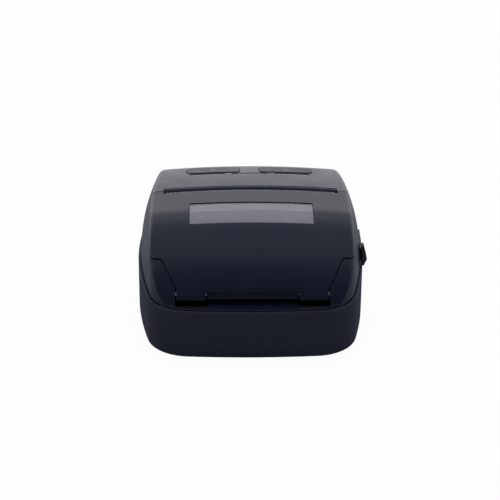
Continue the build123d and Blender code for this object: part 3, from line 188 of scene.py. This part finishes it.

# %% [markdown]
# ## Clear and smoked windows
# The strip in the cover's bend lets the user see how much paper is left. It is polycarbonate with a
# light haze, so it looks pale grey over the dark inside: some light goes through it, some is
# scattered back. Its edges and the ridge across it are painted paler: a painted highlight, which
# the edge mask places. The three indicator windows are the same plastic, smoked nearly black, and
# their lamps are off. All are polished, so their gloss is sharper than the case's.

# %% Window finishes
def polycarbonate(name, tint, painted_highlight_tint, roughness, clearness):
    """Hazed clear plastic, of which the share clearness lets light through."""
    material, tree, output, place = start_finish(name)
    # The edge mask paints a highlight: the edges and the ridge across the window take the paler
    # second tint.
    rounded, mask = edge_wear_and_highlight(tree, 0.4 * MM, full_at=0.993)
    colour = add_node(
        tree, "ShaderNodeMix", {6: linear(tint), 7: linear(painted_highlight_tint)}, {0: mask}, data_type="RGBA")
    haze = add_node(
        tree, "ShaderNodeTexNoise", {"Scale": 1 / (6 * MM), "Detail": 4.0}, {"Vector": place})
    spread = add_node(
        tree, "ShaderNodeMapRange",
        {"From Min": 0.3, "From Max": 0.7, "To Min": roughness * 0.8, "To Max": roughness * 1.2},
        {"Value": haze.outputs["Fac"]})
    shader = add_node(
        tree, "ShaderNodeBsdfPrincipled", {"IOR": 1.585, "Transmission Weight": clearness},
        {"Base Color": colour.outputs[2], "Roughness": spread.outputs["Result"], "Normal": rounded})
    tree.links.new(shader.outputs["BSDF"], output.inputs["Surface"])
    return material


# The second colour of each window is a painted highlight on its edges and ridge.
finishes["window_clear"] = polycarbonate(
    "hazed clear polycarbonate", "#8f909c", "#d8d9e6", 0.16, 0.4)
finishes["lens_smoke"] = polycarbonate("smoked polycarbonate", "#33343a", "#3a3b42", 0.2, 0.3)
finishes["lamp_white"] = polycarbonate("clear lamp resin", "#e8e6dc", "#f0eee6", 0.15, 0.6)

# %% [markdown]
# ## Rubber
# The platen roller is silicone-like rubber, ground round on a lathe, so fine rings run about its
# axis. The feet and the port flap are moulded rubber with a dull skin. Rings 0.4 mm apart across X
# serve the roller and are lost on the others. Rubber reflects little, so roughness is high.

# %% Rubber finish
wave_unit = math.tau / 20  # the scale at which a Wave texture draws one band per unit
material, tree, output, place = start_finish("ground black rubber")
rings = add_node(
    tree, "ShaderNodeTexWave", {"Scale": wave_unit / (0.4 * MM), "Distortion": 1.5, "Detail": 2.0},
    {"Vector": place}, bands_direction="X")
skin = add_node(
    tree, "ShaderNodeTexNoise", {"Scale": 1 / (0.6 * MM), "Detail": 3.0}, {"Vector": place})
height = add_node(
    tree, "ShaderNodeMath",
    links={0: rings.outputs["Fac"], 1: skin.outputs["Fac"]}, operation="ADD")
bump = add_node(
    tree, "ShaderNodeBump", {"Strength": 0.4, "Distance": 0.02 * MM},
    {"Height": height.outputs["Value"]})
tone = add_node(
    tree, "ShaderNodeMix", {6: linear("#0f0f10"), 7: linear("#1b1b1c")},
    {0: skin.outputs["Fac"]}, data_type="RGBA")
shader = add_node(
    tree, "ShaderNodeBsdfPrincipled", {"IOR": 1.52, "Roughness": 0.72, "Specular IOR Level": 0.35},
    {"Base Color": tone.outputs[2], "Normal": bump.outputs["Normal"]})
tree.links.new(shader.outputs["BSDF"], output.inputs["Surface"])
finishes["rubber_black"] = material

# %% [markdown]
# ## Metals
# The shafts, pins and springs are drawn or ground steel, with fine lines along their length. The
# printer frame is zinc-plated sheet, whose rolling lines run along the sheet and whose plating
# clouds a little. Screws are black oxide, contacts and the motor pinion are turned brass, and the
# head's heat sink is extruded aluminium. All are metals with stretched noise as their lines, so one
# recipe takes a colour, a roughness and the size of the lines in three directions.

# %% Metal finish
def lined_metal(name, dark, light, roughness, line_size, depth):
    """Drawn, rolled or turned metal, whose lines have that length along X, Y and Z."""
    material, tree, output, place = start_finish(name)
    stretched = add_node(
        tree, "ShaderNodeMapping", {"Scale": tuple(1 / size for size in line_size)},
        {"Vector": place})
    lines = add_node(
        tree, "ShaderNodeTexNoise", {"Scale": 1.0, "Detail": 3.0},
        {"Vector": stretched.outputs["Vector"]})
    clouds = add_node(
        tree, "ShaderNodeTexNoise", {"Scale": 1 / (8 * MM), "Detail": 4.0}, {"Vector": place})
    colour = add_node(
        tree, "ShaderNodeMix", {6: linear(dark), 7: linear(light)},
        {0: clouds.outputs["Fac"]}, data_type="RGBA")
    spread = add_node(
        tree, "ShaderNodeMapRange",
        {"From Min": 0.3, "From Max": 0.7, "To Min": roughness - 0.06, "To Max": roughness + 0.08},
        {"Value": lines.outputs["Fac"]})
    bump = add_node(
        tree, "ShaderNodeBump", {"Strength": 0.4, "Distance": depth},
        {"Height": lines.outputs["Fac"]})
    shader = add_node(
        tree, "ShaderNodeBsdfPrincipled", {"Metallic": 1.0},
        {"Base Color": colour.outputs[2], "Roughness": spread.outputs["Result"],
         "Normal": bump.outputs["Normal"]})
    tree.links.new(shader.outputs["BSDF"], output.inputs["Surface"])
    return material


finishes["steel_bright"] = lined_metal(
    "drawn steel", "#a4a7ac", "#bcbfc3", 0.24, (20 * MM, 0.3 * MM, 0.3 * MM), 0.005 * MM)
finishes["steel_sheet"] = lined_metal(
    "zinc-plated sheet steel", "#94979a", "#b0b2b3", 0.38,
    (0.5 * MM, 12 * MM, 0.5 * MM), 0.006 * MM)
finishes["screw_black"] = lined_metal(
    "black oxide steel", "#1b1b1d", "#2a2a2d", 0.4, (0.5 * MM, 0.5 * MM, 0.5 * MM), 0.006 * MM)
finishes["brass"] = lined_metal(
    "turned brass", "#b99a55", "#cfb270", 0.28, (0.3 * MM, 0.3 * MM, 4 * MM), 0.004 * MM)
finishes["aluminium"] = lined_metal(
    "extruded aluminium", "#b4b6b8", "#cacbcc", 0.35, (15 * MM, 0.4 * MM, 0.4 * MM), 0.006 * MM)

# %% [markdown]
# ## Boards, cables and the thermal head
# The circuit boards are glass cloth and epoxy under green solder resist: the weave shows through as
# a faint 0.6 mm check, and thin copper lines lift the resist a little. The flat cables are copper
# lines 1 mm apart under amber polyimide film. The thermal head is a white glazed ceramic strip
# with one dark line of heating dots along its middle, where the paper passes.

# %% Board finish
material, tree, output, place = start_finish("green solder resist")
weave = add_node(
    tree, "ShaderNodeTexChecker", {"Scale": 1 / (0.6 * MM)}, {"Vector": place})
copper = add_node(
    tree, "ShaderNodeTexBrick",
    {"Scale": 1 / (9 * MM), "Mortar Size": 0.03, "Mortar Smooth": 0.1},
    {"Vector": place}, offset=0.37)
cloth = add_node(
    tree, "ShaderNodeMix", {6: linear("#0b3a22"), 7: linear("#0e4228")},
    {0: weave.outputs["Fac"]}, data_type="RGBA")
resist = add_node(
    tree, "ShaderNodeMix", {7: linear("#1c6b40")},
    {0: copper.outputs["Fac"], 6: cloth.outputs[2]}, data_type="RGBA")
bump = add_node(
    tree, "ShaderNodeBump", {"Strength": 0.3, "Distance": 0.03 * MM},
    {"Height": copper.outputs["Fac"]})
shader = add_node(
    tree, "ShaderNodeBsdfPrincipled", {"IOR": 1.55, "Roughness": 0.3},
    {"Base Color": resist.outputs[2], "Normal": bump.outputs["Normal"]})
tree.links.new(shader.outputs["BSDF"], output.inputs["Surface"])
finishes["board_green"] = material

# %% Flat cable finish
material, tree, output, place = start_finish("amber polyimide film")
lines = add_node(
    tree, "ShaderNodeTexWave", {"Scale": wave_unit / (1 * MM), "Distortion": 0.0},
    {"Vector": place}, bands_direction="X")
film = add_node(
    tree, "ShaderNodeMix", {6: linear("#a8682a"), 7: linear("#d19a4a")},
    {0: lines.outputs["Fac"]}, data_type="RGBA")
shader = add_node(
    tree, "ShaderNodeBsdfPrincipled", {"IOR": 1.7, "Roughness": 0.25},
    {"Base Color": film.outputs[2]})
tree.links.new(shader.outputs["BSDF"], output.inputs["Surface"])
finishes["cable_amber"] = material

# %% Thermal head finish
material, tree, output, place = start_finish("glazed alumina ceramic")
head_low, head_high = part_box("thermal_head")
height = add_node(tree, "ShaderNodeSeparateXYZ", links={0: place})
line = add_node(
    tree, "ShaderNodeMath", {1: (head_low[2] + head_high[2]) / 2, 2: 0.5 * MM},
    {0: height.outputs["Z"]}, operation="COMPARE")
glaze = add_node(
    tree, "ShaderNodeMix", {6: linear("#d9d6cd"), 7: linear("#2b2a2c")},
    {0: line.outputs["Value"]}, data_type="RGBA")
shader = add_node(
    tree, "ShaderNodeBsdfPrincipled", {"IOR": 1.6, "Roughness": 0.18},
    {"Base Color": glaze.outputs[2]})
tree.links.new(shader.outputs["BSDF"], output.inputs["Surface"])
finishes["head_ceramic"] = material

# %% [markdown]
# ## Give every solid its finish
# The record names a material slot for every solid. Each solid's own slot takes the finish of that
# name, so a piece that is moulded in one colour in reality has one material here too.

# %% Assign the finishes
slot_of = {part["node"]: part["material_slot"] for part in frame["record"]["subparts"]}
for name, node in frame["nodes"].items():
    for slot in node.material_slots:
        slot.material = finishes[slot_of[name]]
print("finishes in use:", len(set(slot_of.values())))

# %% [markdown]
# ## Copies of the springs
# Two small coil springs press the thermal head against the paper, and a third holds the battery
# catch out. A coil gets shorter when its joint moves, and a rigid solid can't. So a copy of each
# spring's mesh, with its loose triangles joined, stands in for the node. Shape keys could shorten
# it, but no joint would drive them.

# %% Copies of the springs
def coil_that_gives(node):
    """A copy of a spring, its loose triangles joined, that takes the node's place on the case."""
    coil = bmesh.new()
    coil.from_mesh(frame["nodes"][node].data)
    bmesh.ops.remove_doubles(coil, verts=coil.verts[:], dist=0.001 * MM)
    mesh = bpy.data.meshes.new(node + "_coil")
    coil.to_mesh(mesh)
    coil.free()
    spring = bpy.data.objects.new(node + "_coil", mesh)
    bpy.context.collection.objects.link(spring)
    spring.data.materials.append(finishes[slot_of[node]])
    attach(spring, "case")
    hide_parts(node)
    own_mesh(spring)


coil_that_gives("catch_spring")

coil_that_gives("head_springs")

# %% [markdown]
# ## Printed marks on the buttons
# Each button has one small pad-printed mark: a feed arrow over a line on the left, and the usual
# power sign on the right. Pad printing leaves ink about 0.03 mm thick that follows the surface. The
# marks are drawn flat with a spin, a circle of three sides and two grids, dropped onto the curved
# button with rays from above, and then given the ink's thickness.

# %% Ink
material, tree, output, place = start_finish("grey-white pad-printing ink")
worn = add_node(
    tree, "ShaderNodeTexNoise", {"Scale": 1 / (0.5 * MM), "Detail": 2.0}, {"Vector": place})
ink = add_node(
    tree, "ShaderNodeMix", {6: linear("#9a9da2"), 7: linear("#b9bcc0")},
    {0: worn.outputs["Fac"]}, data_type="RGBA")
shader = add_node(
    tree, "ShaderNodeBsdfPrincipled", {"IOR": 1.5, "Roughness": 0.6},
    {"Base Color": ink.outputs[2]})
tree.links.new(shader.outputs["BSDF"], output.inputs["Surface"])
marking_ink = material
ink_lift = 0.01 * MM
ink_thickness = 0.03 * MM


# %% Helper that lays a flat mark on a button
def print_on(name, drawing, button, body):
    """Drops a flat drawing onto the middle of a button and gives it the thickness of ink."""
    low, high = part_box(button)
    centre = ((low[0] + high[0]) / 2, (low[1] + high[1]) / 2)
    solid = frame["nodes"][button].data
    surface = BVHTree.FromPolygons(
        [v.co.copy() for v in solid.vertices], [tuple(p.vertices) for p in solid.polygons])
    for vertex in drawing.verts:
        above = Vector((vertex.co.x + centre[0], vertex.co.y + centre[1], 0.1))
        hit = surface.ray_cast(above, Vector((0, 0, -1)))[0]
        vertex.co = hit + Vector((0, 0, ink_lift))
    grown = bmesh.ops.extrude_face_region(drawing, geom=drawing.faces[:])
    top = [item for item in grown["geom"] if isinstance(item, bmesh.types.BMVert)]
    bmesh.ops.translate(drawing, vec=(0, 0, ink_thickness), verts=top)
    bmesh.ops.recalc_face_normals(drawing, faces=drawing.faces[:])
    mesh = bpy.data.meshes.new(name)
    drawing.to_mesh(mesh)
    drawing.free()
    mark = bpy.data.objects.new(name, mesh)
    bpy.context.collection.objects.link(mark)
    mark.data.materials.append(marking_ink)
    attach(mark, body)
    print(name, "faces:", len(mesh.polygons))


# %% Power sign: a ring with a gap at its top and a bar through the gap
stroke = 0.3 * MM
ring_inside = 1.05 * MM
gap_angle = math.radians(70)
power_sign = bmesh.new()
inner = power_sign.verts.new((ring_inside, 0, 0))
outer = power_sign.verts.new((ring_inside + stroke, 0, 0))
spoke = power_sign.edges.new((inner, outer))
bmesh.ops.rotate(
    power_sign, cent=(0, 0, 0), verts=[inner, outer],
    matrix=Matrix.Rotation(math.tau / 4 + gap_angle / 2, 3, "Z"))
bmesh.ops.spin(
    power_sign, geom=[inner, outer, spoke], cent=(0, 0, 0), axis=(0, 0, 1),
    angle=math.tau - gap_angle, steps=28, use_duplicate=False)
bmesh.ops.create_grid(
    power_sign, x_segments=1, y_segments=4, size=0.5,
    matrix=Matrix.Translation((0, 0.95 * MM, 0)) @ Matrix.Diagonal((stroke, 1.5 * MM, 1, 1)))
print_on("power_mark", power_sign, "power_button", "power_key")

# %% Feed sign: an arrow head over a short line
feed_sign = bmesh.new()
bmesh.ops.create_circle(feed_sign, cap_ends=True, segments=3, radius=1.25 * MM)
bmesh.ops.translate(feed_sign, vec=(0, 0.35 * MM, 0), verts=feed_sign.verts[:])
bmesh.ops.create_grid(
    feed_sign, x_segments=6, y_segments=1, size=0.5,
    matrix=Matrix.Translation((0, -1.1 * MM, 0)) @ Matrix.Diagonal((2.4 * MM, stroke, 1, 1)))
print_on("feed_mark", feed_sign, "feed_button", "feed_key")

# %% [markdown]
# ## Table and studio
# The photograph is a cut-out on white. A wide white table gives the same picture: to the camera it
# is plain white, but part of it stays an ordinary lit surface, which keeps a soft shadow under the
# printer. In a reflection it is white too, but close by it is painted dim, a painted shadow of the
# printer in what the gloss shows: without that its flanks would show broad pale stripes. From below
# the table is clear, so that the printer's underside can be looked at. The world is white to the
# camera as well. In reflections it is white behind the printer, cool above it and dark in front,
# like a studio with a white wall and a dim room: that makes the flat top pale grey, and the cover's
# slope fades to a blue-black below.

# %% White table
bpy.ops.mesh.primitive_plane_add(size=8, location=(0, 0, 0))
table = bpy.context.object
table.name = "table"
material, tree, output, place = start_finish("white table")
rays = add_node(tree, "ShaderNodeLightPath")
straight = add_node(
    tree, "ShaderNodeMath",
    links={0: rays.outputs["Is Camera Ray"], 1: rays.outputs["Is Transmission Ray"]},
    operation="MAXIMUM")
seen = add_node(
    tree, "ShaderNodeMath",
    links={0: straight.outputs["Value"], 1: rays.outputs["Is Glossy Ray"]}, operation="MAXIMUM")
share = add_node(
    tree, "ShaderNodeMath", {1: 0.95}, {0: seen.outputs["Value"]}, operation="MULTIPLY")
# Painted shadow: the table's reflection runs from blue-grey at 0.1 m to white at 0.7 m, where the
# printer's shade would lie.
reach = add_node(tree, "ShaderNodeVectorMath", links={0: place}, operation="LENGTH")
far = add_node(
    tree, "ShaderNodeMapRange", {"From Min": 0.1, "From Max": 0.7},
    {"Value": reach.outputs["Value"]})
reflection_with_painted_shadow = add_node(
    tree, "ShaderNodeMix", {6: (0.16, 0.17, 0.22, 1), 7: (1, 1, 1, 1)},
    {0: far.outputs["Result"]}, data_type="RGBA")
shade = add_node(
    tree, "ShaderNodeMix", {6: (1, 1, 1, 1)},
    {0: rays.outputs["Is Glossy Ray"], 7: reflection_with_painted_shadow.outputs[2]}, data_type="RGBA")
lit = add_node(tree, "ShaderNodeBsdfDiffuse", {"Color": linear("#f2f2f2")})
white = add_node(
    tree, "ShaderNodeEmission", {"Strength": 1.0}, {"Color": shade.outputs[2]})
mixed = add_node(
    tree, "ShaderNodeMixShader",
    links={0: share.outputs["Value"], 1: lit.outputs["BSDF"], 2: white.outputs["Emission"]})
below = add_node(tree, "ShaderNodeNewGeometry").outputs["Backfacing"]
gone = add_node(tree, "ShaderNodeBsdfTransparent")
one_sided = add_node(
    tree, "ShaderNodeMixShader",
    links={0: below, 1: mixed.outputs["Shader"], 2: gone.outputs["BSDF"]})
tree.links.new(one_sided.outputs["Shader"], output.inputs["Surface"])
table.data.materials.append(material)

# %% World: white to the camera, white behind and dark in front in reflections
world = bpy.data.worlds.new("studio")
bpy.context.scene.world = world
world.use_nodes = True
tree = world.node_tree
tree.nodes.clear()
direction = add_node(tree, "ShaderNodeTexCoord").outputs["Generated"]
parts = add_node(tree, "ShaderNodeSeparateXYZ", links={0: direction})
depth = add_node(
    tree, "ShaderNodeMapRange", {"From Min": -1.0, "From Max": 1.0}, {"Value": parts.outputs["Y"]})
room = add_node(tree, "ShaderNodeValToRGB", links={"Fac": depth.outputs["Result"]})
room.color_ramp.interpolation = "EASE"
room.color_ramp.elements[0].color = (0.05, 0.07, 0.13, 1)
room.color_ramp.elements[1].color = (1.05, 1.03, 1.10, 1)
for place, colour in (
        (0.22, (0.12, 0.16, 0.29, 1)),
        (0.38, (0.42, 0.49, 0.65, 1)),
        (0.69, (0.36, 0.42, 0.58, 1)),
        (0.79, (1.02, 1.01, 1.10, 1)),
        (0.90, (1.06, 1.04, 1.11, 1))):
    room.color_ramp.elements.new(place).color = colour
rays = add_node(tree, "ShaderNodeLightPath")
reflected = add_node(
    tree, "ShaderNodeMix", {6: (0.32, 0.32, 0.33, 1)},
    {0: rays.outputs["Is Glossy Ray"], 7: room.outputs["Color"]}, data_type="RGBA")
direct = add_node(
    tree, "ShaderNodeMath",
    links={0: rays.outputs["Is Camera Ray"], 1: rays.outputs["Is Transmission Ray"]},
    operation="MAXIMUM")
level = add_node(
    tree, "ShaderNodeMix", {7: (1, 1, 1, 1)},
    {0: direct.outputs["Value"], 6: reflected.outputs[2]}, data_type="RGBA")
background = add_node(
    tree, "ShaderNodeBackground", {"Strength": 1.0}, {"Color": level.outputs[2]})
add_node(tree, "ShaderNodeOutputWorld", links={"Surface": background.outputs["Background"]})
print("world:", len(room.color_ramp.elements), "tones from the dark front to the white back")

# %% [markdown]
# ## Lamps
# A broad lamp overhead and a tall one at each side light the printer softly, and their levels were
# set so that a colour renders about as it is written. They are left out of reflections: the world
# above already draws what the gloss shows, and bright rectangles on top of it would hide the even
# fade of the photograph. A single sun lamp would be simpler, but its shadow has a hard edge.

# %% Softboxes
def softbox(name, place, target, width, height, power):
    """A rectangular lamp in watts that lights the object and isn't seen in its gloss."""
    lamp = bpy.data.lights.new(name, "AREA")
    lamp.shape = "RECTANGLE"
    lamp.size = width
    lamp.size_y = height
    lamp.energy = power
    box = bpy.data.objects.new(name, lamp)
    bpy.context.collection.objects.link(box)
    aim = (Vector(target) - Vector(place)).to_track_quat("-Z", "Y")
    box.matrix_world = Matrix.Translation(place) @ aim.to_matrix().to_4x4()
    box.visible_glossy = False
    print(name, "at", tuple(round(c, 2) for c in place))


middle = (0, 0, 0.03)
softbox("overhead", (0, 0.25, 0.95), middle, width=0.9, height=0.5, power=4.5)
softbox("left side", (-0.75, 0.3, 0.5), middle, width=0.25, height=0.6, power=1.3)
softbox("right side", (0.75, 0.3, 0.5), middle, width=0.25, height=0.6, power=1.3)

# %% [markdown]
# ## Camera
# The camera was matched to the photograph from the tub's rim, the seams, the slot, the window and
# the buttons. It is a long lens 0.8 m away, 25 degrees above the table, turned a degree to the left
# of the printer and rolled by a third of a degree.

# %% Camera
elevation = math.radians(25.42)
turn = math.radians(-1.3)
roll = math.radians(0.37)
distance = 0.795
aim_point = Vector((-0.0002, 0, 0.02746))
level_back = Vector((math.sin(turn), -math.cos(turn), 0))
back = level_back * math.cos(elevation) + Vector((0, 0, math.sin(elevation)))
right = Vector((math.cos(turn), math.sin(turn), 0))
up = back.cross(right)
tilted_right = right * math.cos(roll) + up * math.sin(roll)
tilted_up = up * math.cos(roll) - right * math.sin(roll)
pose = Matrix((tilted_right, tilted_up, back)).transposed().to_4x4()
pose.translation = aim_point + back * distance
lens = bpy.data.cameras.new("camera")
lens.sensor_width = 36
lens.lens = 116.9
camera = bpy.data.objects.new("camera", lens)
camera.matrix_world = pose
bpy.context.collection.objects.link(camera)
bpy.context.scene.camera = camera
bpy.context.scene.view_settings.view_transform = "Standard"
print("camera at", tuple(round(c, 3) for c in camera.matrix_world.translation))
